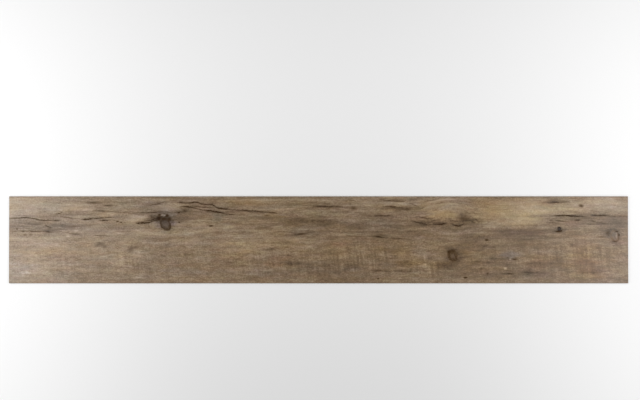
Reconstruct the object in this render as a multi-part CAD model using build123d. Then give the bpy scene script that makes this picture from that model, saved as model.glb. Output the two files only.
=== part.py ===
from build123d import *
import os

# One luxury vinyl tile in plank form: a single sheet of filled vinyl flooring, pressed flat, die-cut square
# and glued down by its back. It lies with its wear face up. X runs along the grain, Y across it.
# The origin is the centre of the back, where the tile meets the floor.

# Driving dimensions, in millimetres
LENGTH = 1219.0
WIDTH = 171.0
THICKNESS = 2.5
# The micro-bevel that runs round the wear face: across the face, and down the edge
BEVEL_WIDTH = 0.6
BEVEL_DEPTH = 0.3


def square_cut_blank():
    """The sheet as the die leaves it: four square corners and upright edges, back at Z = 0."""
    return extrude(Rectangle(LENGTH, WIDTH), THICKNESS)


def vinyl_plank():
    """The blank with the micro-bevel pressed round its wear face, mitred at the four corners."""
    blank = square_cut_blank()
    wear_face = blank.faces().sort_by(Axis.Z)[-1]
    return chamfer(wear_face.edges(), BEVEL_WIDTH, BEVEL_DEPTH, reference=wear_face)


os.makedirs("parts", exist_ok=True)
export_step(vinyl_plank(), "parts/vinyl_plank.step")
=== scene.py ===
import math

import bpy
import numpy as np
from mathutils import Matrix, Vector


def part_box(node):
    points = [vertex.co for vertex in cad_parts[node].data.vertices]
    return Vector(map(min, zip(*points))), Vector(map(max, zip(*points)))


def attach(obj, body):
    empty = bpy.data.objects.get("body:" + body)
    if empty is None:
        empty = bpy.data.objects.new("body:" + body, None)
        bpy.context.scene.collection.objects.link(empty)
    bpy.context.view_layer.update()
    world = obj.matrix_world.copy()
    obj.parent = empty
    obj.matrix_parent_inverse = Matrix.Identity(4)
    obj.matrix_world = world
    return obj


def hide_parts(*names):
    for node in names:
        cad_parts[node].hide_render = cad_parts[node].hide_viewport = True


# The looks of one vinyl plank: an embossed print of weathered, sawn timber under a clear wear layer.
# The print is worked out here in the plank's own millimetres, x along the grain and y across it.

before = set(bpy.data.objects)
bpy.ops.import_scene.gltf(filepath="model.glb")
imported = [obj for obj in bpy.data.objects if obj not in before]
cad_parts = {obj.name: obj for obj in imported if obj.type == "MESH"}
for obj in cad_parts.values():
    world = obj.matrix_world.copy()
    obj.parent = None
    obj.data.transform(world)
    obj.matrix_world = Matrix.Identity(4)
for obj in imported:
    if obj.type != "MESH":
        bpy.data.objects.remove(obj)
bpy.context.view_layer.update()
NODE = "vinyl_plank"
MM = 0.001

# The plank's outline, in millimetres, from the frame
LOW, HIGH = (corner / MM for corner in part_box(NODE))
HALF_LENGTH = HIGH.x
HALF_WIDTH = HIGH.y
THICKNESS = HIGH.z - LOW.z
BEVEL_WIDTH = 0.6
BEVEL_DEPTH = 0.3

# How finely the wear face is cut into faces, in millimetres
STEP_ALONG = 2.3
STEP_ACROSS = 1.0

# One unit of the half widths of splits and pale lines, in millimetres
LINE_UNIT = 0.1
# Long splits and hairlines in the timber, each as points (x, y, half width) that run with the grain
SPLITS = [
    [(-609, 41.8, 7), (-593, 42.2, 8), (-584, 44, 10), (-574, 43.8, 10), (-563, 41.4, 9), (-549, 38.8, 12),
     (-535, 38.4, 12), (-519, 38.5, 11), (-508, 38.2, 3)],
    [(-519, 50.4, 3), (-514, 51, 9), (-509, 51.6, 8), (-505, 54, 3)],
    [(-508, 46.2, 3), (-498, 44.4, 6), (-489, 43.6, 8), (-484, 42.2, 7), (-474, 41.8, 5), (-468, 41, 3)],
    [(-467, 40.4, 5), (-460, 40.4, 16), (-450, 40.6, 15), (-444, 41.8, 8), (-438, 41.4, 13), (-430, 43.2, 7),
     (-412, 43.6, 7), (-398, 43.6, 3)],
    [(-431, 38.2, 4), (-424, 38, 13), (-417, 37.8, 11), (-409, 37.6, 2)],
    [(-585, 32.6, 2), (-572, 32, 5), (-558, 30.8, 5), (-543, 29.8, 2)],
    [(-538, 28, 4), (-534, 26.4, 9), (-529, 24.6, 7), (-525, 24.2, 3)],
    [(-609, 15.4, 3), (-600, 16.2, 7), (-591, 16.2, 4), (-583, 16.5, 12), (-577, 16.4, 4), (-569, 16.6, 9),
     (-556, 16.5, 8), (-545, 16.5, 5), (-533, 16.6, 7), (-524, 14.6, 3)],
    [(-513, 16.6, 3), (-506, 16.4, 5), (-498, 15, 3), (-489, 12.6, 4), (-476, 11, 4), (-465, 9.6, 2)],
    [(-445, 8.6, 2), (-433, 8.2, 6), (-421, 7.6, 5), (-411, 7.2, 2)],
    [(-424, 67.6, 3), (-417, 67.6, 5), (-400, 67.4, 4), (-393, 67.4, 2)],
    [(-444, 57.6, 4), (-428, 57, 6), (-412, 55.6, 4), (-390, 53.8, 4), (-366, 52.6, 5), (-350, 53.2, 7),
     (-335, 53.6, 8), (-322, 54.2, 8), (-314, 55, 3)],
    [(-357, 32.4, 9), (-351, 32.5, 21), (-341, 32.8, 21), (-334, 33.8, 15), (-329, 36, 9), (-322, 38.2, 9)],
    [(-341, 37.4, 3), (-332, 38.6, 9), (-324, 40.4, 14), (-315, 42.6, 14)],
    [(-346, 67.6, 2), (-334, 68.4, 5), (-324, 69.6, 7), (-314, 71.4, 7), (-303, 74.2, 3)],
    [(-277, 72.8, 7), (-271, 73, 14), (-262, 72.6, 10), (-254, 73, 10), (-248, 73.6, 14), (-239, 73.2, 14),
     (-231, 70.8, 9), (-224, 69.8, 12), (-216, 69.4, 9), (-209, 69.6, 17), (-204, 66, 9), (-198, 62.8, 14),
     (-192, 61.6, 22), (-186, 60.6, 14), (-176, 59.8, 9), (-163, 58.8, 9), (-154, 58.2, 13), (-143, 57.6, 14),
     (-132, 56.8, 10), (-118, 55.8, 10), (-103, 54.6, 8), (-92, 53.4, 9), (-86, 52.6, 9), (-80, 51.6, 2)],
    [(-271, 65.4, 6), (-263, 65, 11), (-256, 63.8, 15), (-247, 63, 10), (-237, 60.6, 8), (-228, 58.2, 11),
     (-221, 57.4, 20), (-213, 56.6, 19), (-206, 55.2, 14), (-198, 54, 18), (-191, 53, 16), (-183, 51.6, 9),
     (-174, 50.2, 10), (-164, 49.2, 3)],
    [(-303, 54.8, 3), (-292, 54, 5), (-282, 54.2, 5), (-275, 54, 3)],
    [(-250, 67.4, 3), (-240, 66.2, 7), (-228, 64.6, 8), (-216, 63.4, 7), (-206, 62.2, 3)],
    [(-88, 15.4, 2), (-72, 15.8, 4), (-56, 14.8, 4), (-46, 13.2, 3)],
    [(-26, 12.8, 3), (-18, 14.4, 5), (-8, 15.6, 5), (2, 15.4, 3)],
    [(-14, 65.6, 3), (4, 65.8, 8), (22, 65.4, 7), (31, 65.4, 7), (39, 65.2, 8), (45, 64, 5), (58, 62.8, 2)],
    [(94, 46.8, 3), (103, 46.8, 6), (112, 47, 7), (124, 47.4, 9), (136, 47.6, 7), (144, 47.4, 3)],
    [(124, 65, 3), (131, 65, 6), (138, 65.2, 15), (145, 65.2, 14), (152, 64.6, 8), (166, 64, 4)],
    [(121, 78.2, 3), (130, 78, 8), (139, 77.6, 8), (150, 76.4, 6), (160, 75.8, 6), (170, 75.4, 2)],
    [(177, 72.4, 2), (184, 70.6, 4), (191, 67.6, 5), (196, 65.6, 2)],
    [(54, 7.4, 3), (66, 7.2, 5), (76, 6.9, 6), (85, 6.8, 3)],
    [(100, 7.4, 3), (108, 7.2, 6), (118, 5.4, 9), (126, 4, 8), (134, 3, 6), (150, 2.6, 7), (164, 2.4, 6),
     (172, 2.2, 3)],
    [(180, 36.4, 3), (189, 35.6, 7), (197, 33.6, 10), (205, 31.6, 10), (213, 30, 4)],
    [(190, 44.8, 3), (199, 44.6, 8), (208, 43.2, 9), (217, 42, 4), (226, 40.4, 2)],
    [(228, 31.2, 11), (233, 31, 17), (241, 30.9, 18), (247, 31.4, 12), (251, 31.8, 4)],
    [(261, 31, 5), (266, 28.8, 12), (271, 27.4, 19), (277, 27.2, 19), (282, 28.6, 10), (287, 31.7, 4)],
    [(258, 38, 4), (264, 37.6, 8), (270, 37.4, 6), (275, 36.6, 2)],
    [(296, 46.6, 3), (304, 43.6, 5), (311, 39, 5), (316, 33.4, 3)],
    [(285, 36.4, 2), (295, 38, 5), (303, 36.2, 5), (310, 32.4, 2)],
    [(200, 75.6, 2), (216, 76.6, 4), (228, 77.6, 5), (236, 79.2, 2)],
    [(449, 73.2, 3), (458, 73.4, 8), (472, 73.8, 9), (482, 74.4, 5), (492, 75.4, 2)],
    [(456, 47.8, 3), (464, 47.8, 7), (470, 47.6, 14), (480, 47.4, 19), (491, 47.2, 19), (502, 47, 17),
     (510, 46.8, 11), (522, 46.4, 6), (532, 46.2, 2)],
    [(537, 47.8, 4), (545, 48, 10), (560, 48, 10), (567, 47.6, 7), (575, 46.6, 5), (590, 46.3, 5),
     (609, 46, 4)],
    [(452, 38.4, 2), (459, 38.2, 4), (465, 37.8, 2)],
    [(467, 38.2, 4), (477, 36.8, 9), (489, 34.6, 4)],
    [(450, 34, 3), (462, 33.8, 7), (474, 33.2, 3)],
    [(494, 38.4, 3), (503, 38.2, 8), (513, 38.8, 11), (518, 38.4, 4)],
    [(530, 37.8, 3), (538, 37.2, 7), (545, 36.4, 3)],
    [(546, 34.8, 3), (556, 33.4, 7), (568, 32.6, 3)],
    [(580, 18.6, 3), (586, 17, 5), (590, 13.4, 6), (592, 9.4, 4)],
    [(575, -4.6, 3), (582, -4.4, 5), (589, -2.4, 4), (592, 0.4, 2)],
    [(357, -66.6, 3), (367, -66.8, 7), (374, -66.9, 12), (380, -66.8, 12), (384, -66.4, 3)],
    [(392, -64.8, 2), (400, -64, 4), (416, -63.8, 5), (430, -64.2, 2)],
    [(512, -64.6, 2), (524, -64.2, 5), (540, -64.6, 5), (556, -64, 2)],
    [(-184, -44.8, 2), (-176, -45, 4), (-167, -44.6, 2)],
    [(146, -61.4, 2), (160, -61.8, 4), (178, -62.6, 4), (194, -63.2, 2)],
]

# Knots: middle x and y, half length, half width, how far it leans along the grain, tones of its heart and of
# its ring of bark, and where between the middle (0) and the outline (1) the ring starts
KNOTS = [
    (-301.6, 30.2, 11, 11.8, 0.16, 0.24, 0.205, 0.68),
    (264.2, -31.6, 10.8, 11.6, 0.12, 0.255, 0.22, 0.34),
    (583.5, 7.2, 8, 11.6, 0.1, 0.365, 0.395, 0.8),
    (473.8, 21.4, 3, 4.2, 0, 0.05, 0.05, 0.6),
]

# Small dark marks: x, y, half length, half width, strength
MARKS = [
    (-314, 42.5, 6, 7, 0.85), (-313, 49.4, 5, 3.2, 0.8), (-312, 55, 8, 1.5, 0.6), (-304, 52, 7, 1.3, 0.5),
    (-298.5, 47.6, 4.4, 4.2, 0.9), (-294, 40.6, 5.4, 6, 0.85), (-304.6, 41.4, 9.6, 4.8, 0.8),
    (-294, 27, 3, 6, 0.4), (-328, 44.6, 8, 4, 0.4), (-287, 38, 5, 6, 0.35), (-298, 20.6, 6, 1.6, 0.4),
    (-319, 38, 5, 2.4, 0.6), (-309, 26, 2, 6, 0.4), (256.4, -23.4, 4.4, 4.2, 0.8),
    (263.4, -21.6, 8, 2.4, 0.5), (272.6, -27, 2.6, 5, 0.4), (-212, 27.4, 5.5, 1.9, 0.9),
    (-274.4, 34.6, 2.4, 1.8, 1), (-275, 53.4, 3.4, 2, 0.9), (-396, 36.4, 3.4, 1.6, 0.8),
    (-389, 34.4, 3, 1.5, 0.8), (-382, 33.4, 3, 1.5, 0.4), (-594, 21.4, 2.4, 2, 0.7),
    (-578, 9.6, 5, 2.4, 0.42), (-567, 9.8, 4.4, 2.2, 0.4), (-484, 26.6, 22, 2.4, 0.3),
    (-530, 21.6, 5, 4, 0.4), (-532, 15.6, 6, 2.6, 0.35), (117, -76.4, 2.6, 1.8, 0.8),
    (289, -74.4, 4.6, 1.9, 1), (68, 62.2, 7.6, 4.8, 0.43), (175, 60, 8, 3.8, 0.42), (164, 61, 10, 2.6, 0.3),
    (330.8, -0.2, 5, 2.6, 0.7), (312.5, 2, 2.4, 2, 0.3), (204, 62, 1.8, 1.6, 0.6), (517, 67.2, 5.6, 4.4, 0.6),
    (519, 66.6, 2.6, 2.2, 0.5), (333, -66.4, 3.4, 3.4, 0.6), (569.8, 12.6, 6.2, 7.4, 0.45),
    (557, 5.8, 12, 2, 0.4), (386.4, -38.2, 7.4, 2.6, 0.55), (372, -35, 3.5, 2, 0.4),
    (-444, 73, 18, 2.6, 0.55), (-414, 67.4, 10, 2.2, 0.45), (284, 41.4, 14, 6.6, 0.38),
    (291, 41.4, 10, 4.2, 0.36), (288, 46.4, 6, 3.4, 0.3), (307, 39.4, 12, 2.6, 0.3), (472, 16.4, 6.4, 2, 1.2),
    (478, 17.6, 2.6, 2.4, 1.1), (466, 17, 9, 2, 0.4), (587.5, 16.4, 4, 1.4, 0.6), (458, 38.6, 4, 1.8, 0.4),
    (472, 38, 5, 2, 0.35), (509, 38.8, 6, 2.4, 0.4), (591.4, 8.6, 1.6, 7, 0.7), (591.6, 9.6, 2, 2.6, 0.85),
    (584, 11.5, 0.9, 6, 0.3), (582.5, -2.8, 7, 2.6, 0.4), (590, 1.6, 2, 3, 0.45), (-118, 22.4, 10, 2.2, 0.3),
    (-148, 15.4, 8, 1.8, 0.45), (-102, 47.8, 8, 2.4, 0.42), (55, 75.6, 3.5, 1, 0.4),
    (345, -14.4, 6, 1.8, 0.5), (-62, -14.4, 8, 1.8, 0.4), (163, -60.8, 4, 1.6, 0.4),
    (119, -60.4, 9, 1.6, 0.4), (-20, -22.6, 6, 1.4, 0.3), (-528, -30, 2.6, 1.6, 0.35),
    (-264, 57.6, 6, 4.6, 0.5), (-415, -22, 3, 2, 0.35), (142, -37, 6, 2, 0.35), (-126.6, -74, 3.4, 1.5, 0.35),
    (172, -44.8, 5, 2.6, 0.3), (-602, -46, 2, 1.4, 0.4), (118, 6.4, 9, 3.2, 0.42), (122, 10.4, 8, 3, 0.26),
    (-478, 11.4, 11, 2.6, 0.28), (-34, 11.6, 13, 3.2, 0.5), (313, -43, 10, 2.4, 0.32),
    (320, -57, 3.4, 1.8, 0.4),
]

# Small pale marks: x, y, half length, half width, strength
PALE_MARKS = [
    (-309, 48.6, 3.2, 1.8, 0.9), (-303.6, 48, 3.2, 1.6, 0.8), (-306.4, 46, 1.6, 2.8, 0.6),
    (-493, 7.8, 6.4, 3.4, 0.85), (-477, 18.2, 8, 3.2, 0.7), (-473, -27.6, 4, 2.6, 0.4),
    (-558, -19, 3.4, 2.6, 0.4), (367.6, -56.4, 4.4, 3, 1.1), (377.4, -38, 3, 2, 0.8),
    (350, -7, 3.4, 2.4, 0.4), (278.4, -46, 2.2, 2.8, 0.6), (476, -25, 5, 1.6, 0.5), (208, -52, 3.6, 5, 0.4),
    (90, -14, 6, 5, 0.45), (-599, -48.6, 4, 3.6, 0.3), (273, 34, 5, 1.3, 0.3), (586.4, 8.8, 1.4, 6.8, 0.7),
    (44, 16, 1.8, 5, 0.4), (460, 24, 4, 1.4, 0.3),
]

# Pale lines of early wood, each as points (x, y, half width)
PALE_LINES = [
    [(203, 61, 3), (213, 64, 14), (226, 66.8, 19), (240, 69.4, 20), (256, 71.4, 22), (270, 71, 18),
     (280, 69, 3)],
    [(206, 72.4, 3), (222, 75.4, 12), (238, 78.6, 15), (256, 80.6, 16), (270, 79, 4)],
    [(284, 66.4, 3), (292, 64.4, 9), (302, 62, 8), (312, 59.6, 2)],
    [(152, 72, 4), (160, 72, 18), (168, 71.6, 16), (174, 70.2, 3)],
]

# Soft darker areas of the print: x, y, half length, half width, strength
DARK_AREAS = [
    (-560, 27, 62, 11, 6), (-520, 50, 50, 6, 4.5), (-485, 26, 38, 3.4, 7), (-423, -9, 8, 6, 10),
    (-530, 16, 14, 4, 6.5), (-326, 44, 15, 7, 10), (-274, 45, 26, 10, 8.5), (-514, 26, 12, 6, 6.5),
    (-262, 58, 16, 7, 6), (-400, -4, 18, 4, 5), (-369, -17, 11, 7, 7.5), (-112, 22.5, 20, 3, 6.8),
    (-34, 36, 44, 10, 6.5), (-35, 11.6, 16, 3.8, 11), (-5, 13, 20, 4, 5), (-95, -18, 20, 3, 6.5),
    (-184, -42, 16, 6, 5), (-58, -45, 22, 4, 7), (15, 65, 30, 3.2, 8), (12, 33, 26, 9, 8),
    (122, 47.2, 26, 2.4, 6), (75, 27, 30, 6, 4.5), (118, 7, 18, 5, 7), (165, 60.4, 24, 4.5, 6),
    (57, -53, 13, 7, 6.5), (80, -51, 13, 7, 5.5), (122, -60.4, 18, 2.4, 7), (155, -61, 22, 2.2, 5),
    (200, 31, 24, 5, 7), (288, 42, 15, 8, 8.5), (296, 32, 26, 6, 5), (240, 31, 30, 7, 8),
    (392, 13.5, 42, 9, 9), (330, 9, 40, 9, 3), (332, -12, 16, 3.4, 4.5), (247, -52, 22, 7, 7),
    (472, 76.6, 20, 3.8, 10), (494, 47.4, 48, 3.2, 6), (430, 12, 34, 10, 2.8), (585, 32, 30, 14, 8.8),
    (473, 18, 12, 6, 8), (425, -46, 22, 3.4, 5), (425, -66, 24, 7, 5), (-30, -59, 64, 18, 3),
    (288, -11, 44, 9, 6), (268, -32, 16, 15, 5.8), (300, -46, 90, 34, 2.8), (362, -40, 27, 8, 6.2),
    (416, -4, 50, 12, 4), (372, -71, 30, 8, 3.4), (330, -72, 13, 6, 5.5), (404, -62, 16, 9, 3),
    (450, -50, 28, 10, 4.5), (525, -50, 25, 12, 3.6), (500, -42, 130, 44, 1.6), (85, 16, 30, 22, 2.5),
    (163, 18, 36, 20, 3.8), (135, 38, 20, 6, 4.5), (560, -58, 16, 9, 4.5), (573, 11, 14, 9, 5),
    (310, 2, 40, 10, 3), (-308, 46, 14, 12, 8), (-503, -66, 18, 7, 4), (-196, 45, 16, 7, 5),
    (-166, 53, 16, 4.4, 4.2), (42, 56, 18, 6, 4.6), (76, 67, 14, 7, 4.4), (122, -46, 12, 12, 3),
    (171, -45, 9, 5, 5.5), (25, -75, 50, 9, 2.6), (314, -43, 16, 4, 5), (288, -68, 18, 7, 3.5),
    (100, -30, 160, 50, 1.4), (532, 44, 26, 13, 5), (40, -52, 34, 14, 2.4), (500, 11, 26, 7, 2.6),
]

# Soft paler areas of the print; the first, over the whole left end, is partly painted light: x, y, half
# length, half width, strength
PALE_AREAS = [
    # The first area brightens the whole left end: partly the print's paler tone, partly painted light
    (-620, 0, 150, 120, 4.5), (-590, 72, 70, 24, 5), (-560, -58, 70, 26, 3), (-540, -8, 26, 9, 4),
    (-470, 64, 34, 9, 4.5), (-415, 46, 14, 8, 5.5), (-348, -26, 14, 7, 3.5), (-386, -20, 14, 9, 3.5),
    (-440, 10, 100, 60, 1.8), (-345, 43, 13, 4, 5), (-365, 43, 13, 8, 5.5), (-360, 40, 26, 24, 2),
    (-290, 64, 22, 8, 7.8), (-228, 23, 28, 9, 4.5), (-300, 15, 70, 9, 5), (-250, -4, 40, 8, 3.5),
    (-186, 76, 16, 8, 3.5), (-120, 78, 40, 8, 3), (-135, -14, 50, 16, 4), (-104, 10, 26, 6, 4.5),
    (-28, 52, 34, 7, 3.5), (-40, -12, 34, 7, 3.5), (155, 72, 24, 3.4, 7), (150, 82, 34, 4, 6),
    (214, -50, 14, 10, 7), (202, -26, 14, 8, 4.4), (240, 50, 28, 8, 4.5), (256, 53, 36, 10, 3.5),
    (240, 74, 50, 9, 5.8), (372, 56, 66, 23, 6), (390, 36, 34, 8, 6), (415, 52, 34, 16, 3),
    (340, 27, 24, 8, 4.5), (465, 59, 60, 11, 8), (560, 70, 60, 11, 8.6), (488, 73, 20, 8, 3.6),
    (525, 4, 34, 6, 4), (436, 36, 26, 6, 4.5), (385, -22, 18, 6, 3.5), (-382, -44, 14, 18, 3),
    (-180, -2, 30, 12, 4.5), (-78, 56, 14, 8, 4), (-132, -35, 20, 5, 4.5), (-19, -69, 14, 6, 4.2),
    (420, 76, 36, 7, 4.5), (-395, 70, 20, 9, 3), (-390, -22, 50, 38, 2.6), (-172, 20, 18, 10, 2.6),
    (-116, -4, 24, 5, 2.6), (-112, -71, 28, 5, 2.8), (67, -25, 15, 8, 3.4),
]

# Warm, ochre areas and cool, grey ones: x, y, half length, half width, strength
WARM_AREAS = [
    (-520, -28, 30, 13, 0.8), (-455, -20, 30, 12, 0.9), (-395, -25, 18, 14, 0.8), (-416, 52, 14, 14, 0.9),
    (-150, -12, 34, 14, 0.7), (-170, -27, 48, 12, 0.6), (-138, 72, 40, 8, 1.3), (-86, 50, 18, 9, 1.6),
    (-62, -8, 34, 9, 1.2), (-86, -46, 18, 9, 0.9), (42, -8, 30, 11, 1.1), (45, -30, 36, 10, 0.7),
    (124, -18, 16, 9, 1.1), (165, -25, 18, 10, 1.3), (182, -43, 24, 12, 1.5), (244, 50, 28, 10, 2.1),
    (287, -30, 13, 13, 1.4), (240, -20, 26, 12, 0.7), (325, 56, 34, 24, 1.7), (385, 60, 40, 26, 1.6),
    (420, 38, 24, 10, 1), (335, -50, 30, 10, 0.7), (430, -37, 30, 14, 1.1), (465, 62, 50, 12, 0.8),
    (522, -34, 32, 34, 1.9), (485, -12, 18, 11, 0.7), (310, -26, 18, 14, 0.7), (575, -32, 20, 14, 1),
    (534, -70, 34, 9, 1.2), (60, 0, 240, 90, 0.3), (-50, 32, 22, 8, 0.8), (226, -50, 20, 8, 1),
    (266, -47, 20, 7, 1.2), (302, -44, 14, 9, 0.9), (482, -50, 20, 10, 1),
]
COOL_AREAS = [
    (-580, 33, 30, 9, 0.8), (-560, 27, 66, 12, 0.6), (-524, 62, 18, 14, 0.8), (-458, 24, 42, 17, 1.2),
    (-575, 50, 30, 26, 0.6), (-425, -9, 12, 8, 1), (-301, 33, 14, 17, 2.1), (-305, 46, 22, 16, 1.9),
    (-350, 72, 26, 8, 0.8), (-290, -52, 16, 12, 1), (-262, -66, 40, 8, 0.7), (-470, -74, 60, 8, 0.7),
    (-198, 44, 16, 8, 1.7), (-124, -64, 24, 9, 0.9), (-26, 14, 36, 14, 1), (118, 33, 40, 10, 1.6),
    (150, 20, 28, 9, 0.9), (78, -60, 22, 10, 0.8), (30, -58, 50, 14, 0.6), (130, -65, 30, 8, 0.7),
    (295, 19, 26, 8, 0.9), (388, 15, 40, 8, 1), (378, -31, 18, 12, 2.4), (410, -72, 40, 8, 0.9),
    (585, 33, 34, 15, 0.9), (582, 9, 14, 10, 1.7), (560, -80, 60, 6, 0.7), (-600, -62, 40, 30, 1.3),
    (-508, 33, 18, 10, 0.9), (-315, 66, 36, 15, 0.9), (-258, 75, 24, 7, 0.9), (-345, -70, 26, 7, 0.9),
    (-88, -69, 34, 8, 1.1), (20, 55, 22, 6, 0.6), (78, 50, 26, 26, 0.7), (186, 72, 16, 7, 1),
    (-400, 10, 230, 90, 0.2), (-30, -46, 26, 8, 0.7),
]

# Pinkish areas, and greenish ones with a strength below 0: x, y, half length, half width, strength
RED_AREAS = [
    (-500, -32, 30, 10, 1), (-301, 31, 13, 15, 0.9), (-232, 60, 18, 9, 1), (-190, -38, 16, 14, 1.2),
    (-90, -42, 18, 12, 1.4), (42, -10, 20, 9, 1.5), (200, 46, 18, 9, 1.3), (340, -68, 16, 7, 0.9),
    (438, -46, 28, 14, 1.3), (520, -8, 22, 14, 1.5), (528, -45, 28, 16, 1.7), (556, -66, 28, 12, 1.4),
    (590, -32, 14, 12, 0.9), (594, -2, 16, 9, 1.4), (-285, 16, 20, 12, -0.9), (95, 1, 16, 5, 1.2),
    (502, 32, 18, 7, 1.3), (565, 28, 14, 20, 0.8), (440, -65, 16, 7, 1), (-530, 68, 26, 12, -0.8),
    (-372, 68, 26, 10, -0.9), (-198, 42, 14, 9, -1.6), (-62, 72, 24, 8, -1), (2, 52, 34, 7, -1.1),
    (405, 52, 40, 17, -0.8), (462, 62, 20, 8, -0.8), (405, 14, 34, 7, 1.1), (312, -60, 18, 12, 0.7),
]

# Places where the grain bulges: x, y, half length, half width, how far it is pushed up above and down below
WIDE_BULGE = (264, 38, 34, 46, 13.0, 5.0)
BULGES = [
    (-302, 36, 34, 26, 5.0, 3.0), (264, -30, 26, 24, 4.0, 4.0), WIDE_BULGE, (585, 8, 22, 20, 4.0, 4.0),
    (473, 20, 12, 10, 2.5, 1.5),
]

# Where faint marks of the saw cross the grain: x, y, half length, half width, strength
SAW_AREAS = [
    (90, -38, 70, 34, 1), (-20, -50, 60, 30, 0.7), (470, -35, 70, 40, 0.7), (220, -50, 40, 26, 1),
    (-120, -45, 60, 30, 0.6), (-240, -30, 40, 30, 0.5), (-370, -40, 50, 34, 0.6), (-520, -46, 90, 34, 0.5),
    (340, -48, 60, 34, 0.5), (560, -40, 60, 40, 0.65),
]

# Where hairlines gather beside the splits: x, y, half length, half width, strength
CRACKED_AREAS = [
    (-570, 30, 50, 20, 0.9), (-500, 28, 40, 20, 0.7), (-430, 40, 60, 14, 0.6), (-220, 63, 70, 14, 1),
    (-340, 50, 40, 14, 0.7), (140, 70, 60, 12, 0.8), (20, 66, 50, 8, 0.7), (240, 34, 60, 10, 0.9),
    (510, 43, 70, 10, 0.9), (-60, 30, 80, 18, 0.4), (130, 6, 50, 8, 0.5), (350, 8, 60, 10, 0.5),
    (-450, 70, 60, 10, 0.6), (200, -62, 120, 8, 0.5), (380, -64, 50, 8, 0.6),
]

# Where the timber is smooth and its grain weak: x, y, half length, half width, strength
CALM_AREAS = [
    (372, 55, 74, 30, 1), (240, 51, 30, 10, 1), (282, 58, 18, 9, 0.7), (-565, 70, 50, 18, 0.6),
    (-554, -50, 20, 9, 0.6), (-346, 43, 12, 6, 0.5), (390, 12, 46, 9, 0.7), (560, 66, 40, 14, 0.5),
    (-235, 12, 60, 14, 0.4), (520, 8, 34, 12, 0.4),
]
# The share of the grain that is gone in the calmest places
CALMED = 0.55

# The line, as points (x, y), that parts the long-grained timber above from the sawn timber below
SAWN_BELOW = [
    (-609, -2), (-480, 3), (-380, 2), (-270, -2), (-150, -4), (0, 0), (130, 2), (250, 8), (350, 2), (609, -2),
]
# How softly the one passes into the other, in millimetres across
SAWN_FADE = 22

# The print's plain tone, from 0 for black to 1 for white, before any area, streak or mark is added
PLAIN_TONE = 0.443
# How far one unit of strength in the dark and pale areas moves the tone
AREA_CONTRAST = 0.0142

# Grain drawn over the whole face: length along it and width across it in millimetres, octaves, their
# roughness, and how far it moves the tone in long-grained and in sawn timber
GRAIN = {
    "bands": (150, 9, 3, 0.60, 0.120, 0.075),
    "fibres": (55, 3.2, 4, 0.65, 0.145, 0.050),
    "mottle": (17, 6.5, 4, 0.70, 0.112, 0.178),
    "flecks": (8, 1.8, 3, 0.70, 0.120, 0.085),
    "grit": (2.8, 2.2, 2, 0.60, 0.130, 0.150),
}
# The grains that fade in calm timber
FADING_GRAIN = ("bands", "fibres", "flecks")
# Waves of the grain across it: height, length and width in millimetres, and the seed of the noise
GRAIN_WAVES = [(2.2, 260, 60, 11), (0.7, 50, 14, 17)]
# How far the outlines of areas are shifted along and across, and that shift's length, width and seed
RAGGEDNESS = [(9, 26, 5, 31), (1.6, 17, 5, 37)]
# How many units noise runs before it repeats
LATTICE = 64

# How far each of these moves the tone
HAIRLINE_TONE = -0.015
CRACKED_TONE = -0.09
PORE_TONE = -0.07
SAW_TONE = 0.07
PALE_SPECK_TONE = 0.075
DARK_SPECK_TONE = -0.055
STAINED_TONE = -0.075
BLEACHED_TONE = 0.05
KNOT_SHADE_TONE = -0.06
STAIN_TONE = -0.1
# The darker rim within about 2 mm of the edges: partly the bevel's dark print, partly painted edge shade
EDGE_PRINT_AND_SHADE_TONE = -0.05

# Where a knot's ring starts once all knots are drawn alike, as a share of the radius
RING_FROM = 0.55
# Where a small mark fades out, as a share of its radius
MARK_REACH = 1.25

# Patches of colour: length and width in millimetres, and strength
WARMTH_CLOUDS = [(60, 14, 2.0), (13, 5, 0.75)]
REDNESS_CLOUDS = [(42, 13, 1.8), (9, 5, 1.05)]
# What one unit of warmth or redness adds to red, green and blue, as a share
WARMTH_TINT = (0.035, 0, -0.11)
REDNESS_TINT = (0.035, -0.02, 0.01)

# Colours by tone, as red, green and blue from 0 to 255: the print, the cut edges and the back
PRINT_COLOURS = [
    (0.06, (34, 16, 2)), (0.14, (55, 34, 10)), (0.22, (73, 54, 31)), (0.41, (122, 100, 75)),
    (0.52, (150, 129, 104)), (0.63, (177, 156, 132)), (0.76, (206, 191, 170)),
]
EDGE_COLOURS = [(0.2, (58, 50, 42)), (0.4, (112, 101, 89)), (0.5, (141, 132, 120)), (0.7, (188, 180, 168))]
BACK_COLOURS = [(0.2, (46, 46, 47)), (0.4, (98, 97, 95)), (0.6, (140, 138, 134))]
# The tones that splits, dark marks and pale marks are blended into, and the roughness of the wear layer
SPLIT_TONE = 0.12
MARK_TONE = 0.15
PALE_TONE = 0.68
SATIN_ROUGHNESS = 0.38

# Depth of the embossing in the mesh, and the width beside the bevel in which it fades out, in millimetres
SPLIT_DEPTH = 0.25
KNOT_DEPTH = 0.12
GRAIN_DEPTH = 0.06
FLAT_RIM = 2

# The mesh's materials, by their place
WEAR_FACE, CUT_EDGE, BACK = range(3)

# Rows of the bake map, as shares of the texture's height: two halves of the wear face, the back, two long cut
# edges and, side by side, the two short ones
BAKE_ROWS_LOW = [0.575, 0.150, 0.050, 0.035, 0.020, 0.005, 0.005]
BAKE_ROWS_HIGH = [0.990, 0.565, 0.140, 0.043, 0.028, 0.013, 0.013]
# How long a short edge is, and the margin at both ends of each row, as shares of the texture's width
BAKE_END_LENGTH = 0.48
BAKE_MARGIN = 0.006

# The camera looks down on the plank from this place and at this point, in millimetres
CAMERA_PLACE = (2.76, 60.0, 1753.5)
CAMERA_AIM_Y = 78.4
LENS_LENGTH = 50.0

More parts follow.
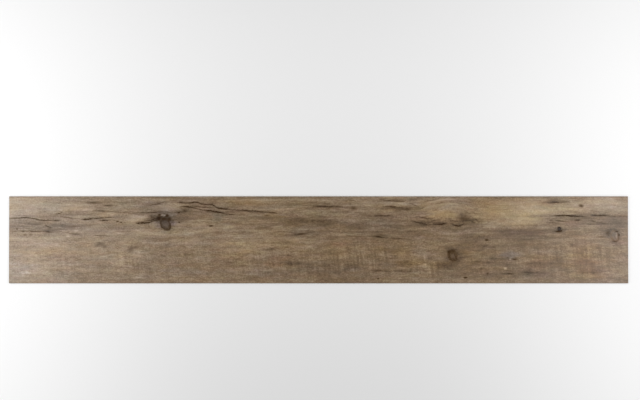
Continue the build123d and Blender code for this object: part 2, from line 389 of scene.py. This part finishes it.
# Two soft lamps, left (-1) and right (1) of the plank and out of view, in metres and watts, and the even sky
LAMP_REACH = 1.0
LAMP_HEIGHT = 0.75
LAMP_SIZE = (0.7, 1.4)
LAMP_POWER = {-1: 9.3, 1: 8.5}
SKY_LIGHT = 0.33
# How bright the sky looks to the camera, and how far from the plank, in metres, the floor fades into it
SKY_SEEN = 0.82
FLOOR_FADE = (0.78, 1.55)
# The floor's painted shade, as grey levels from 0 to 255, in front of the plank, at its front sides and
# behind it
FLOOR_SHADE_LEVELS = (234, 241, 251)
FLOOR_HALF_WIDTH = 6.0
FLOOR_GAP = 0.0001


# Noise and soft shapes on arrays of places in millimetres


def eased(share):
    """A share from 0 to 1, with a soft start and a soft end."""
    return share * share * (3 - 2 * share)


def lattice_noise(x, y, seed):
    """Smooth noise from -1 to 1 that turns over about once in a unit."""
    heights = np.random.default_rng(seed).uniform(-1, 1, (LATTICE, LATTICE))
    column, row = np.floor(x).astype(int), np.floor(y).astype(int)
    along, across = eased(x - column), eased(y - row)
    left, right = column % LATTICE, (column + 1) % LATTICE
    below, above = row % LATTICE, (row + 1) % LATTICE
    low = heights[left, below] * (1 - along) + heights[right, below] * along
    high = heights[left, above] * (1 - along) + heights[right, above] * along
    return low * (1 - across) + high * across


def layered_noise(x, y, length, width, octaves, seed):
    """Noise of this size, with finer and weaker noise laid over it."""
    total = np.zeros_like(x)
    for octave in range(octaves):
        finer = 2 ** octave
        total += lattice_noise(x / length * finer, y / width * finer, seed + octave) / finer
    return total


def oval_radius(x, y, middle_x, middle_y, half_length, half_width):
    """How far out a place is in an oval: 0 in its middle and 1 on its outline."""
    return np.hypot((x - middle_x) / half_length, (y - middle_y) / half_width)


def areas_at(x, y, areas):
    """The sum of soft oval areas, each (x, y, half length, half width, strength)."""
    total = np.zeros_like(x)
    for *oval, strength in areas:
        total += strength * np.exp(-oval_radius(x, y, *oval) ** 3)
    return total


def inside_edge(x, y):
    """How far in from the nearest edge of the plank a place is."""
    return np.minimum(HALF_LENGTH - np.abs(x), HALF_WIDTH - np.abs(y))


# The print, worked out for each vertex


def pushed_by(x, y, bulge):
    """How far a bulge moves the grain across: up above its middle, and down below it."""
    middle_x, middle_y, half_length, half_width, push_up, push_down = bulge
    along = (x - middle_x) / half_length
    out = (y - middle_y) / half_width
    return np.where(out > 0, push_up, push_down) * np.tanh(2 * out) * np.exp(-along ** 2 - (out / 1.6) ** 2)


def flowing_across(x, y):
    """The place across the grain: y, waved as timber is and pushed aside by the bulges round knots."""
    across = y
    for height, length, width, seed in GRAIN_WAVES:
        across = across + height * layered_noise(x, y, length, width, 2, seed)
    for bulge in BULGES:
        across = across - pushed_by(x, y, bulge)
    return across


def broken_up(x, y):
    """Places shifted a little at random, so that soft areas get the ragged outlines of figured timber."""
    along, across = (
        shift * layered_noise(x, y, length, width, 2, seed) for shift, length, width, seed in RAGGEDNESS
    )
    return x + along, y + across


def print_fields(x, y):
    """The print's tone, warmth and redness at each place."""
    ragged_x, ragged_y = broken_up(x, y)
    bent_y = ragged_y - pushed_by(ragged_x, ragged_y, WIDE_BULGE)
    change = areas_at(ragged_x, bent_y, PALE_AREAS) - areas_at(ragged_x, bent_y, DARK_AREAS)
    tone = PLAIN_TONE + AREA_CONTRAST * change
    warmth = areas_at(ragged_x, ragged_y, WARM_AREAS) - areas_at(ragged_x, ragged_y, COOL_AREAS)
    redness = areas_at(ragged_x, ragged_y, RED_AREAS)
    return np.stack([tone, warmth, redness], axis=1)


def zone_fields(x, y):
    """How strong the saw marks are, how sawn the timber is and how many hairlines it has, at each place."""
    along, across = np.array(SAWN_BELOW, float).T
    below = np.interp(x, along, across) + 5 * layered_noise(x, y, 60, 30, 3, seed=41) - y
    sawn = eased(np.clip(0.5 + below / SAWN_FADE, 0, 1))
    return np.stack([areas_at(x, y, SAW_AREAS), sawn, areas_at(x, y, CRACKED_AREAS)], axis=1)


def knot_fields(x, y):
    """Radius in the nearest knot, with its ring from RING_FROM to 1, and the tones of its heart and ring."""
    wobble = 1 + 0.12 * layered_noise(x, y, 7, 7, 2, seed=53)
    far_away = 9.0
    radius = np.full_like(x, far_away)
    heart, ring = np.zeros_like(x), np.zeros_like(x)
    for middle_x, middle_y, half_length, half_width, lean, heart_tone, ring_tone, ring_start in KNOTS:
        upright_x = x + lean * (y - middle_y)
        here = oval_radius(upright_x, y, middle_x, middle_y, half_length, half_width) * wobble
        here = np.where(here < 1, np.interp(here, (0, ring_start, 1), (0, RING_FROM, 1)), here)
        nearer = here < radius
        radius = np.where(nearer, here, radius)
        heart = np.where(nearer, heart_tone, heart)
        ring = np.where(nearer, ring_tone, ring)
    return np.stack([radius, heart, ring], axis=1)


def mark_field(x, y, marks):
    """Small marks from a list: above 0 inside one and just round it, and highest in its middle."""
    highest = np.full_like(x, -1.0)
    for *oval, strength in marks:
        highest = np.maximum(highest, strength * (MARK_REACH - oval_radius(x, y, *oval)))
    return highest


def layers_of(lines):
    """The lines dealt out to layers in which none lie side by side, so that a layer is one line with gaps."""
    gap = 12
    layers = []
    for line in sorted(lines, key=lambda points: points[0][0]):
        for layer in layers:
            if layer[-1][-1][0] + gap < line[0][0]:
                layer.append(line)
                break
        else:
            layers.append([line])
    return layers


def line_fields(x, y, layer):
    """Distance across from a layer's line, the line's half width, which is 0 in its gaps, and a spare 0."""
    taper, margin, smoothing = 4, 20, 5
    along, across, half_widths = [], [], []
    for points in layer:
        line_x, line_y, widths = zip(*points)
        along += [line_x[0] - taper, *line_x, line_x[-1] + taper]
        across += [line_y[0], *line_y, line_y[-1]]
        half_widths += [0, *widths, 0]
    sample = np.arange(-HALF_LENGTH - margin, HALF_LENGTH + margin)
    line = np.convolve(np.interp(sample, along, across), np.ones(smoothing) / smoothing, "same")
    half_width = np.interp(sample, along, half_widths) * LINE_UNIT
    lean = np.interp(x, sample, 1 / np.hypot(1, np.gradient(line)))
    distance = (y - np.interp(x, sample, line)) * lean
    return np.stack([distance, np.interp(x, sample, half_width), x * 0], axis=1)


def relief(x, y):
    """How deep the embossing is pressed into the wear face, in millimetres, fading out at the bevel."""
    grain = 0.5 + 0.5 * layered_noise(x, flowing_across(x, y), 30, 3, 2, seed=71)
    depth = GRAIN_DEPTH * grain.clip(0, 1)
    for layer in layers_of(SPLITS):
        distance, half_width, _ = line_fields(x, y, layer).T
        there = np.clip(half_width / 0.5, 0, 1)
        depth = np.maximum(depth, SPLIT_DEPTH * there * np.exp(-(distance / (half_width + 0.4)) ** 2))
    radius = knot_fields(x, y)[:, 0]
    depth = np.maximum(depth, KNOT_DEPTH * np.exp(-((radius - 0.95) / 0.25) ** 2))
    return depth * np.clip((inside_edge(x, y) - BEVEL_WIDTH) / FLAT_RIM, 0, 1)


# The mesh


def plank_mesh():
    """The plank as one closed mesh: embossed wear face, micro-bevel, four cut edges and the back."""
    columns = 2 * round(HALF_LENGTH / STEP_ALONG)
    rows = round(2 * HALF_WIDTH / STEP_ACROSS)
    face_x = np.linspace(-1, 1, columns + 1) * (HALF_LENGTH - BEVEL_WIDTH)
    face_y = np.linspace(-1, 1, rows + 1) * (HALF_WIDTH - BEVEL_WIDTH)
    x, y = (grid.ravel() for grid in np.meshgrid(face_x, face_y, indexing="ij"))
    top = np.stack([x, y, THICKNESS - relief(x, y)], axis=1)

    index = np.arange(len(x)).reshape(columns + 1, rows + 1)
    loop = np.concatenate([index[:-1, 0], index[-1, :-1], index[:0:-1, -1], index[0, :0:-1]])
    top[loop, 2] = THICKNESS
    widen = [HALF_LENGTH / (HALF_LENGTH - BEVEL_WIDTH), HALF_WIDTH / (HALF_WIDTH - BEVEL_WIDTH), 1]
    lip = top[loop] * widen
    lip[:, 2] = THICKNESS - BEVEL_DEPTH
    foot = lip.copy()
    foot[:, 2] = 0
    places = np.concatenate([top, lip, foot])

    quads = np.stack([index[:-1, :-1], index[1:, :-1], index[1:, 1:], index[:-1, 1:]], axis=-1).reshape(-1, 4)
    lip_loop = len(top) + np.arange(len(loop))
    foot_loop = lip_loop + len(loop)
    bevel, walls = (
        np.stack([low, np.roll(low, -1), np.roll(high, -1), high], axis=1)
        for low, high in ((lip_loop, loop), (foot_loop, lip_loop))
    )
    back = back_faces(foot_loop, columns, rows)

    mesh = bpy.data.meshes.new("wood_print_plank")
    faces = [*quads.tolist(), *bevel.tolist(), *walls.tolist(), *back]
    mesh.from_pydata((places * MM).tolist(), [], faces)
    counts = [len(quads), len(bevel), len(walls), len(back)]
    kinds = np.repeat([WEAR_FACE, WEAR_FACE, CUT_EDGE, BACK], counts)
    mesh.polygons.foreach_set("material_index", kinds)
    mesh.polygons.foreach_set("use_smooth", np.repeat([True, False, False, False], counts))
    mesh.update()
    add_bake_map(mesh, kinds)
    return mesh, places


def read_all(owner, name, width=1, kind=float):
    """One property of all the vertices, faces or corners of a mesh, as an array."""
    values = np.empty(width * len(owner), kind)
    owner.foreach_get(name, values)
    return values.reshape(-1, width) if width > 1 else values


def add_bake_map(mesh, kinds):
    """Lays the mesh out flat for a square texture: wear face in two strips, back, then the cut edges."""
    corner = read_all(mesh.loops, "vertex_index", kind=np.int32)
    x, y, z = read_all(mesh.vertices, "co", 3)[corner].T / MM
    sizes = read_all(mesh.polygons, "loop_total", kind=np.int32)
    centre_x, centre_y, _ = np.repeat(read_all(mesh.polygons, "center", 3), sizes, axis=0).T / MM
    face, edge, back = (np.repeat(kinds, sizes) == kind for kind in (WEAR_FACE, CUT_EDGE, BACK))

    along = (x + HALF_LENGTH) / (2 * HALF_LENGTH)
    across = (y + HALF_WIDTH) / (2 * HALF_WIDTH)
    up = z / THICKNESS
    right, far = centre_x > 0, centre_y > 0
    at_end = np.abs(centre_x) > HALF_LENGTH - 0.1
    end, side = edge & at_end, edge & ~at_end
    short = across * BAKE_END_LENGTH
    # Which row a corner is in, its share of the way along the row, and its share of the way up it
    rows = [face & ~right, face & right, back, side & far, side & ~far, end & ~right, end & right]
    u = np.select(rows, [2 * along, 2 * along - 1, along, along, along, short, short + 1 - BAKE_END_LENGTH])
    v = np.select(rows, [across, across, across, up, up, up, up])
    low, high = np.select(rows, BAKE_ROWS_LOW), np.select(rows, BAKE_ROWS_HIGH)
    places = np.stack([BAKE_MARGIN + u * (1 - 2 * BAKE_MARGIN), low + v * (high - low)], axis=1)
    mesh.uv_layers.new(name="OFBake").data.foreach_set("uv", places.astype(np.float32).ravel())


def back_faces(foot, columns, rows):
    """The flat back: strips between the long edges, and a fan at each end that meets every point there."""
    near = foot[:columns + 1]
    far = foot[columns + rows:2 * columns + rows + 1][::-1]
    right = foot[columns:columns + rows + 1]
    left = np.concatenate([foot[2 * columns + rows:], foot[:1]])[::-1]
    faces = [[near[i], far[i], far[i + 1], near[i + 1]] for i in range(1, columns - 1)]
    middle = rows // 2
    for row in range(rows):
        left_tip, right_tip = (near[1], near[-2]) if row < middle else (far[1], far[-2])
        faces.append([left_tip, left[row], left[row + 1]])
        faces.append([right_tip, right[row + 1], right[row]])
    faces.append([near[1], left[middle], far[1]])
    faces.append([near[-2], far[-2], right[middle]])
    return [[int(corner) for corner in face] for face in faces]


def add_field(mesh, name, values):
    """Stores numbers at the vertices, for the material to read: one for each, or three."""
    kind, key = ("FLOAT_VECTOR", "vector") if values.ndim == 2 else ("FLOAT", "value")
    layer = mesh.attributes.new(name, kind, "POINT")
    layer.data.foreach_set(key, values.astype(np.float32).ravel())


def add_print(mesh, places):
    """Works out the print at every vertex and stores it there."""
    x, y = places[:, 0], places[:, 1]
    marks = [mark_field(x, y, MARKS), mark_field(x, y, PALE_MARKS), inside_edge(x, y)]
    add_field(mesh, "grain", np.stack([x, flowing_across(x, y), y], axis=1))
    add_field(mesh, "print", print_fields(x, y))
    add_field(mesh, "zones", zone_fields(x, y))
    add_field(mesh, "knots", knot_fields(x, y))
    add_field(mesh, "marks", np.stack(marks, axis=1))
    add_field(mesh, "calm", areas_at(x, y, CALM_AREAS))
    for name, lines in (("split", SPLITS), ("pale_line", PALE_LINES)):
        for number, layer in enumerate(layers_of(lines)):
            add_field(mesh, f"{name}_{number}", line_fields(x, y, layer))


# Nodes


def linear(colour):
    """A colour given as 0 to 255, as linear red, green, blue and alpha."""
    shares = [part / 255 for part in colour]
    return [part / 12.92 if part <= 0.04045 else ((part + 0.055) / 1.055) ** 2.4 for part in shares] + [1.0]


class Value:
    """What a socket gives, to be reckoned with like a number: each sum or product becomes a node."""

    def __init__(self, nodes, socket):
        self.nodes = nodes
        self.socket = socket

    def __add__(self, other):
        return self.nodes.maths("ADD", self, other)

    def __mul__(self, other):
        return self.nodes.maths("MULTIPLY", self, other)

    def __sub__(self, other):
        return self.nodes.maths("SUBTRACT", self, other)

    def __rsub__(self, other):
        return self.nodes.maths("SUBTRACT", other, self)

    def __abs__(self):
        return self.nodes.maths("ABSOLUTE", self)

    __radd__ = __add__
    __rmul__ = __mul__


class Nodes:
    """Makes the nodes of one material or world. What they take is a number, a colour or a Value."""

    def __init__(self, owner, shader="Principled BSDF"):
        owner.use_nodes = True
        self.owner = owner
        self.tree = owner.node_tree
        self.shader = self.tree.nodes[shader]

    def feed(self, socket, value):
        if isinstance(value, Value):
            self.tree.links.new(value.socket, socket)
        else:
            socket.default_value = value

    def make(self, kind, output=0, values=(), **settings):
        node = self.tree.nodes.new("ShaderNode" + kind)
        for name, setting in settings.items():
            setattr(node, name, setting)
        for socket, value in dict(values).items():
            self.feed(node.inputs[socket], value)
        return Value(self, node.outputs[output])

    def surface(self, values):
        """Sets the shader's own inputs, by name."""
        for name, value in values.items():
            self.feed(self.shader.inputs[name], value)

    def bump(self, height, strength, depth):
        """The surface's normal, tilted by a height map that is this deep in millimetres."""
        return self.make("Bump", values={"Strength": strength, "Distance": depth * MM, "Height": height})

    def maths(self, operation, *values):
        return self.make("Math", values=enumerate(values), operation=operation)

    def higher(self, a, b):
        return self.maths("MAXIMUM", a, b)

    def parts(self, vector):
        node = self.tree.nodes.new("ShaderNodeSeparateXYZ")
        self.feed(node.inputs[0], vector)
        return [Value(self, output) for output in node.outputs]

    def join(self, x, y, z):
        return self.make("CombineXYZ", values=enumerate((x, y, z)))

    def field(self, name):
        """The three numbers that are stored at the vertices under this name."""
        return self.parts(self.make("Attribute", output="Vector", attribute_name=name))

    def millimetres(self):
        """The place on the object, in millimetres."""
        return [part * (1 / MM) for part in self.parts(self.make("TexCoord", output="Object"))]

    def step(self, value, start, end, low=0, high=1):
        """Goes smoothly from low at start to high at end."""
        values = enumerate((value, start, end, low, high))
        return self.make("MapRange", values=values, interpolation_type="SMOOTHSTEP")

    def blend(self, a, b, share):
        """a where share is 0, b where it is 1, for numbers."""
        return self.make("Mix", values=((0, share), (2, a), (3, b)), data_type="FLOAT")

    def blend_colours(self, a, b, share):
        return self.make("Mix", output=2, values=((0, share), (6, a), (7, b)), data_type="RGBA")

    def noise(self, x, y, length, width, octaves, seed, roughness=0.55):
        """Noise from about -1 to 1, length long and width wide in the units of x and y."""
        place = self.join(x * (1 / length), y * (1 / width), seed * 7.3)
        values = {"Vector": place, "Scale": 1, "Detail": octaves, "Roughness": roughness}
        return self.make("TexNoise", values=values, noise_dimensions="3D") * 4 - 2

    def clouds(self, x, y, clouds, seed):
        """Soft patches of several kinds, each (length, width, strength), added together."""
        total = 0
        for number, (length, width, strength) in enumerate(clouds):
            total = self.noise(x, y, length, width, 3, seed + number) * (strength / 2) + total
        return total

    def ramp(self, value, stops):
        """The colour at this value, between stops (value, colour)."""
        node = self.tree.nodes.new("ShaderNodeValToRGB")
        self.feed(node.inputs[0], value)
        elements = node.color_ramp.elements
        while len(elements) < len(stops):
            elements.new(1.0)
        for element, (place, colour) in zip(elements, stops):
            element.position = place
            element.color = linear(colour)
        return Value(self, node.outputs[0])


# The print, drawn in layers: each function lays its own over the tone, and returns that and the masks it made


def draw_grain(nodes, tone, x, across, sawn):
    lively = 1 - nodes.make("Attribute", output="Fac", attribute_name="calm") * CALMED
    grain = {}
    for number, name in enumerate(GRAIN):
        length, width, octaves, roughness, long_grained, sawn_through = GRAIN[name]
        grain[name] = nodes.noise(x, across, length, width, octaves, 20 + number, roughness)
        strength = sawn * ((sawn_through - long_grained) / 2) + long_grained / 2
        if name in FADING_GRAIN:
            strength *= lively
        tone += grain[name] * strength
    return tone, grain


def draw_fine_lines(nodes, tone, x, across, cracked):
    """Hairlines, which gather beside the splits, and pores, which are short dark dashes."""
    hair = abs(nodes.noise(x, across, 70, 3.6, 3, seed=31, roughness=0.6))
    hairline = nodes.step(hair, 0.13, 0)
    pores = nodes.step(nodes.noise(x, across, 8, 0.9, 2, seed=37), 0.45, 1.1)
    tone += hairline * (cracked * CRACKED_TONE + HAIRLINE_TONE)
    return tone + pores * PORE_TONE, hairline, pores


def draw_saw_marks(nodes, tone, x, y, saw, sawn):
    """Marks of the saw, a little askew across the grain, and the pale and dark specks of sawn timber."""
    saw_lines = nodes.noise(x + y * 0.12, y, 4.6, 42, 2, seed=41)
    specks = nodes.noise(x, y, 5, 3, 2, seed=42)
    pale_specks = nodes.step(specks, 0.62, 1.25) * PALE_SPECK_TONE
    dark_specks = nodes.step(specks, -0.70, -1.25) * DARK_SPECK_TONE
    tone += saw_lines * saw * SAW_TONE
    return tone + (pale_specks + dark_specks) * (sawn * 0.75 + 0.25)


def draw_patches(nodes, tone, x, across):
    """Stained and bleached patches with firmer outlines than the areas have."""
    patches = nodes.noise(x, across, 34, 7, 4, seed=44, roughness=0.6)
    stained = nodes.step(patches, 0.25, 0.95) * STAINED_TONE
    bleached = nodes.step(patches, -0.30, -0.95) * BLEACHED_TONE
    return tone + (stained + bleached)


def draw_knots(nodes, tone, x, y, grain, ragged):
    """Knots, each a heart in a ring of bark, with a soft shade round it."""
    radius, heart, ring = nodes.field("knots")
    radius += ragged
    inside = nodes.step(radius, 1.18, 0.84)
    bark = nodes.step(radius, 0.34, 0.76) * inside
    rays = nodes.noise(x + y * 0.5, y, 2.6, 16, 2, seed=49)
    knot_tone = nodes.blend(heart, ring, bark) + grain["mottle"] * 0.06 + grain["grit"] * 0.05 + rays * 0.05
    tone += nodes.step(radius, 2, 1) * (1 - inside) * KNOT_SHADE_TONE
    return nodes.blend(tone, knot_tone, inside), bark


def draw_marks(nodes, tone, grain, ragged, mark, pale_mark):
    """Small dark marks, then small pale ones and the pale lines of early wood."""
    dark = nodes.step(ragged * 3 + mark, 0, 0.85)
    tone = nodes.blend(tone, MARK_TONE, dark * 0.9)
    pale = nodes.step(ragged * 2 + pale_mark, 0, 1.1) * 0.8
    for number in range(len(layers_of(PALE_LINES))):
        distance, half_width, _ = nodes.field(f"pale_line_{number}")
        off = abs(grain["mottle"] * 0.5 + distance)
        line = nodes.step(half_width, 0.1, 1.2) * nodes.step(off, half_width + 1.6, 0)
        pale = nodes.higher(pale, line * 0.42)
    return nodes.blend(tone, PALE_TONE, pale), dark


def split_masks(nodes, x, across):
    """The dark cores of the splits and the stained timber beside them, each from 0 to 1."""
    sway = nodes.noise(x, across, 4, 2, 3, seed=3, roughness=0.75) * 0.95
    sway += nodes.noise(x, across, 20, 9, 2, seed=4) * 0.9
    swell = nodes.noise(x, across, 7, 4, 3, seed=5, roughness=0.75) * 0.50 + 0.78
    fade = nodes.step(nodes.noise(x, across, 12, 5, 3, seed=6, roughness=0.7), -0.8, 0.35, 0.45, 1)
    spread = nodes.noise(x, across, 12, 4, 3, seed=7) * 1.8 + 2.8
    core, stain = 0, 0
    for number in range(len(layers_of(SPLITS))):
        distance, half_width, _ = nodes.field(f"split_{number}")
        there = nodes.step(half_width, 0.05, 0.5) * nodes.step(half_width, 0.2, 1.5, 0.42, 1)
        width = half_width * swell
        off = abs(distance + sway)
        core = nodes.higher(there * nodes.step(off, width + 0.55, width * 0.45), core)
        stain = nodes.higher(there * nodes.step(off, width + spread, width * 0.3), stain)
    return core * fade, stain


def draw_splits(nodes, tone, x, across, grain):
    core, stain = split_masks(nodes, x, across)
    tone += stain * (grain["mottle"] * 0.05 + STAIN_TONE)
    return nodes.blend(tone, SPLIT_TONE, core * 0.92), core


# Materials


def wood_print():
    """Weathered, sawn timber printed under a clear wear layer, embossed along its grain, splits and knots."""
    nodes = Nodes(bpy.data.materials.new("wood_print"))
    x, across, y = nodes.field("grain")
    across += nodes.noise(x, across, 24, 6, 3, seed=17) * 1.1
    tone, warmth, redness = nodes.field("print")
    saw, sawn, cracked = nodes.field("zones")
    mark, pale_mark, edge = nodes.field("marks")

    tone, grain = draw_grain(nodes, tone, x, across, sawn)
    ragged = grain["flecks"] * 0.05 + grain["mottle"] * 0.07
    tone, hairline, pores = draw_fine_lines(nodes, tone, x, across, cracked)
    tone = draw_saw_marks(nodes, tone, x, y, saw, sawn)
    tone = draw_patches(nodes, tone, x, across)
    tone, bark = draw_knots(nodes, tone, x, y, grain, ragged)
    tone, dark_mark = draw_marks(nodes, tone, grain, ragged, mark, pale_mark)
    tone, core = draw_splits(nodes, tone, x, across, grain)
    # Darker rim along the edges: partly the bevel's dark print, partly painted shade
    tone += nodes.step(edge, 2.2, 0.5) * EDGE_PRINT_AND_SHADE_TONE

    # Colour: the tone's own, then warmer or cooler, redder or greener
    warmth += nodes.clouds(x, across, WARMTH_CLOUDS, seed=43)
    redness += nodes.clouds(x, across, REDNESS_CLOUDS, seed=47)
    tint = nodes.join(*(warmth * warm + redness * red + 1 for warm, red in zip(WARMTH_TINT, REDNESS_TINT)))
    colour = nodes.ramp(tone, PRINT_COLOURS)

    # Satin wear layer: rougher in the pores and splits, and with hardly a sheen down in the dark hollows
    hollow = nodes.higher(core, nodes.higher(bark * 0.8, dark_mark))
    height = grain["fibres"] * 0.25 + grain["flecks"] * 0.30 - pores * 0.8 - core * 1.5 - hairline * 0.3
    nodes.surface({
        "Base Color": nodes.make("VectorMath", values=((0, colour), (1, tint)), operation="MULTIPLY"),
        "Specular IOR Level": 0.50 - hollow * 0.40,
        "Roughness": grain["flecks"] * 0.03 + SATIN_ROUGHNESS + pores * 0.10 + core * 0.20,
        "Normal": nodes.bump(height, 0.6, 0.06),
    })
    return nodes.owner


def cut_edge():
    """The die-cut side: filled vinyl, grey-beige, with the dark line of the print under the wear layer."""
    nodes = Nodes(bpy.data.materials.new("cut_edge"))
    x, y, z = nodes.millimetres()
    speck = nodes.noise(x + y, z, 0.7, 0.5, 3, seed=61)
    drag = nodes.noise(x + y, z, 0.5, 6, 2, seed=67)
    print_line = nodes.step(z, THICKNESS - 0.75, THICKNESS - 0.45)
    nodes.surface({
        "Base Color": nodes.ramp(0.50 + speck * 0.03 + drag * 0.03 - print_line * 0.14, EDGE_COLOURS),
        "Roughness": drag * 0.05 + 0.62,
        "Normal": nodes.bump(drag + speck, 0.5, 0.05),
    })
    return nodes.owner


def vinyl_back():
    """The back: grey vinyl with the fine cross-hatched emboss that helps the glue to key."""
    nodes = Nodes(bpy.data.materials.new("vinyl_back"))
    x, y, _ = nodes.millimetres()
    cloud = nodes.noise(x, y, 40, 40, 3, seed=71)
    speck = nodes.noise(x, y, 0.8, 0.8, 2, seed=73)
    hatch = nodes.higher(*(nodes.maths("SINE", way * 3.1) for way in (x + y, x - y)))
    nodes.surface({
        "Base Color": nodes.ramp(0.38 + cloud * 0.04 + speck * 0.03 + hatch * 0.02, BACK_COLOURS),
        "Roughness": speck * 0.05 + 0.7,
        "Normal": nodes.bump(hatch, 0.6, 0.08),
    })
    return nodes.owner


def pale_floor():
    """Matt white studio floor with painted shade, darker in front of the plank and paler at its sides and
    behind it, that fades into the sky far from the plank.
    """
    nodes = Nodes(bpy.data.materials.new("pale_floor"))
    place = nodes.make("TexCoord", output="Object")
    x, y, _ = nodes.parts(place)
    # Painted shade and light: darker grey in front of the plank, paler at the sides, palest behind it
    middle, sides, back = (linear((level, level, level)) for level in FLOOR_SHADE_LEVELS)
    front = nodes.blend_colours(middle, sides, nodes.step(abs(x), 0.15, 0.65))
    colour = nodes.blend_colours(front, back, nodes.step(y, -0.35, 0.45))
    nodes.surface({"Base Color": colour, "Roughness": 1, "Specular IOR Level": 0})
    reach = nodes.make("VectorMath", output="Value", values=((0, place),), operation="LENGTH")
    matt = Value(nodes, nodes.shader.outputs[0])
    clear = nodes.make("BsdfTransparent")
    seen = nodes.make("MixShader", values=((0, nodes.step(reach, *FLOOR_FADE)), (1, matt), (2, clear)))
    nodes.feed(nodes.tree.nodes["Material Output"].inputs["Surface"], seen)
    return nodes.owner


def sky():
    """Even light from all round, which the camera sees as a pale backdrop."""
    nodes = Nodes(bpy.data.worlds.new("sky"), "Background")
    seen = nodes.make("LightPath", output="Is Camera Ray")
    nodes.surface({"Color": (1, 1, 1, 1), "Strength": seen * (SKY_SEEN - SKY_LIGHT) + SKY_LIGHT})
    bpy.context.scene.world = nodes.owner


# The plank and the stage


def add_object(name, data):
    """Puts a new object with this data into the scene."""
    thing = bpy.data.objects.new(name, data)
    bpy.context.scene.collection.objects.link(thing)
    return thing


def plank():
    mesh, places = plank_mesh()
    add_print(mesh, places)
    for material in (wood_print(), cut_edge(), vinyl_back()):
        mesh.materials.append(material)
    piece = add_object("wood_print_plank", mesh)
    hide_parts(NODE)
    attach(piece, "root")


def floor():
    half, low = FLOOR_HALF_WIDTH, -FLOOR_GAP
    mesh = bpy.data.meshes.new("floor")
    corners = [(-half, -half, low), (half, -half, low), (half, half, low), (-half, half, low)]
    mesh.from_pydata(corners, [], [(0, 1, 2, 3)])
    mesh.materials.append(pale_floor())
    add_object("floor", mesh)


def soft_lamp(name, side):
    """A soft box beside the plank, turned towards its middle."""
    data = bpy.data.lights.new(name, "AREA")
    data.shape = "RECTANGLE"
    data.size, data.size_y = LAMP_SIZE
    data.energy = LAMP_POWER[side]
    lamp = add_object(name, data)
    lamp.location = (side * LAMP_REACH, 0, LAMP_HEIGHT)
    lamp.rotation_euler = (0, side * math.atan2(LAMP_REACH, LAMP_HEIGHT), 0)
    lamp.visible_camera = False


def camera():
    data = bpy.data.cameras.new("camera")
    data.lens = LENS_LENGTH
    eye = add_object("camera", data)
    place = Vector(CAMERA_PLACE) * MM
    eye.location = place
    tilt = math.atan2((CAMERA_AIM_Y - CAMERA_PLACE[1]) * MM, place.z - THICKNESS * MM)
    eye.rotation_euler = (tilt, 0, 0)
    bpy.context.scene.camera = eye


camera()
floor()
soft_lamp("left_lamp", -1)
soft_lamp("right_lamp", 1)
sky()
plank()
bpy.context.scene.view_settings.view_transform = "Standard"
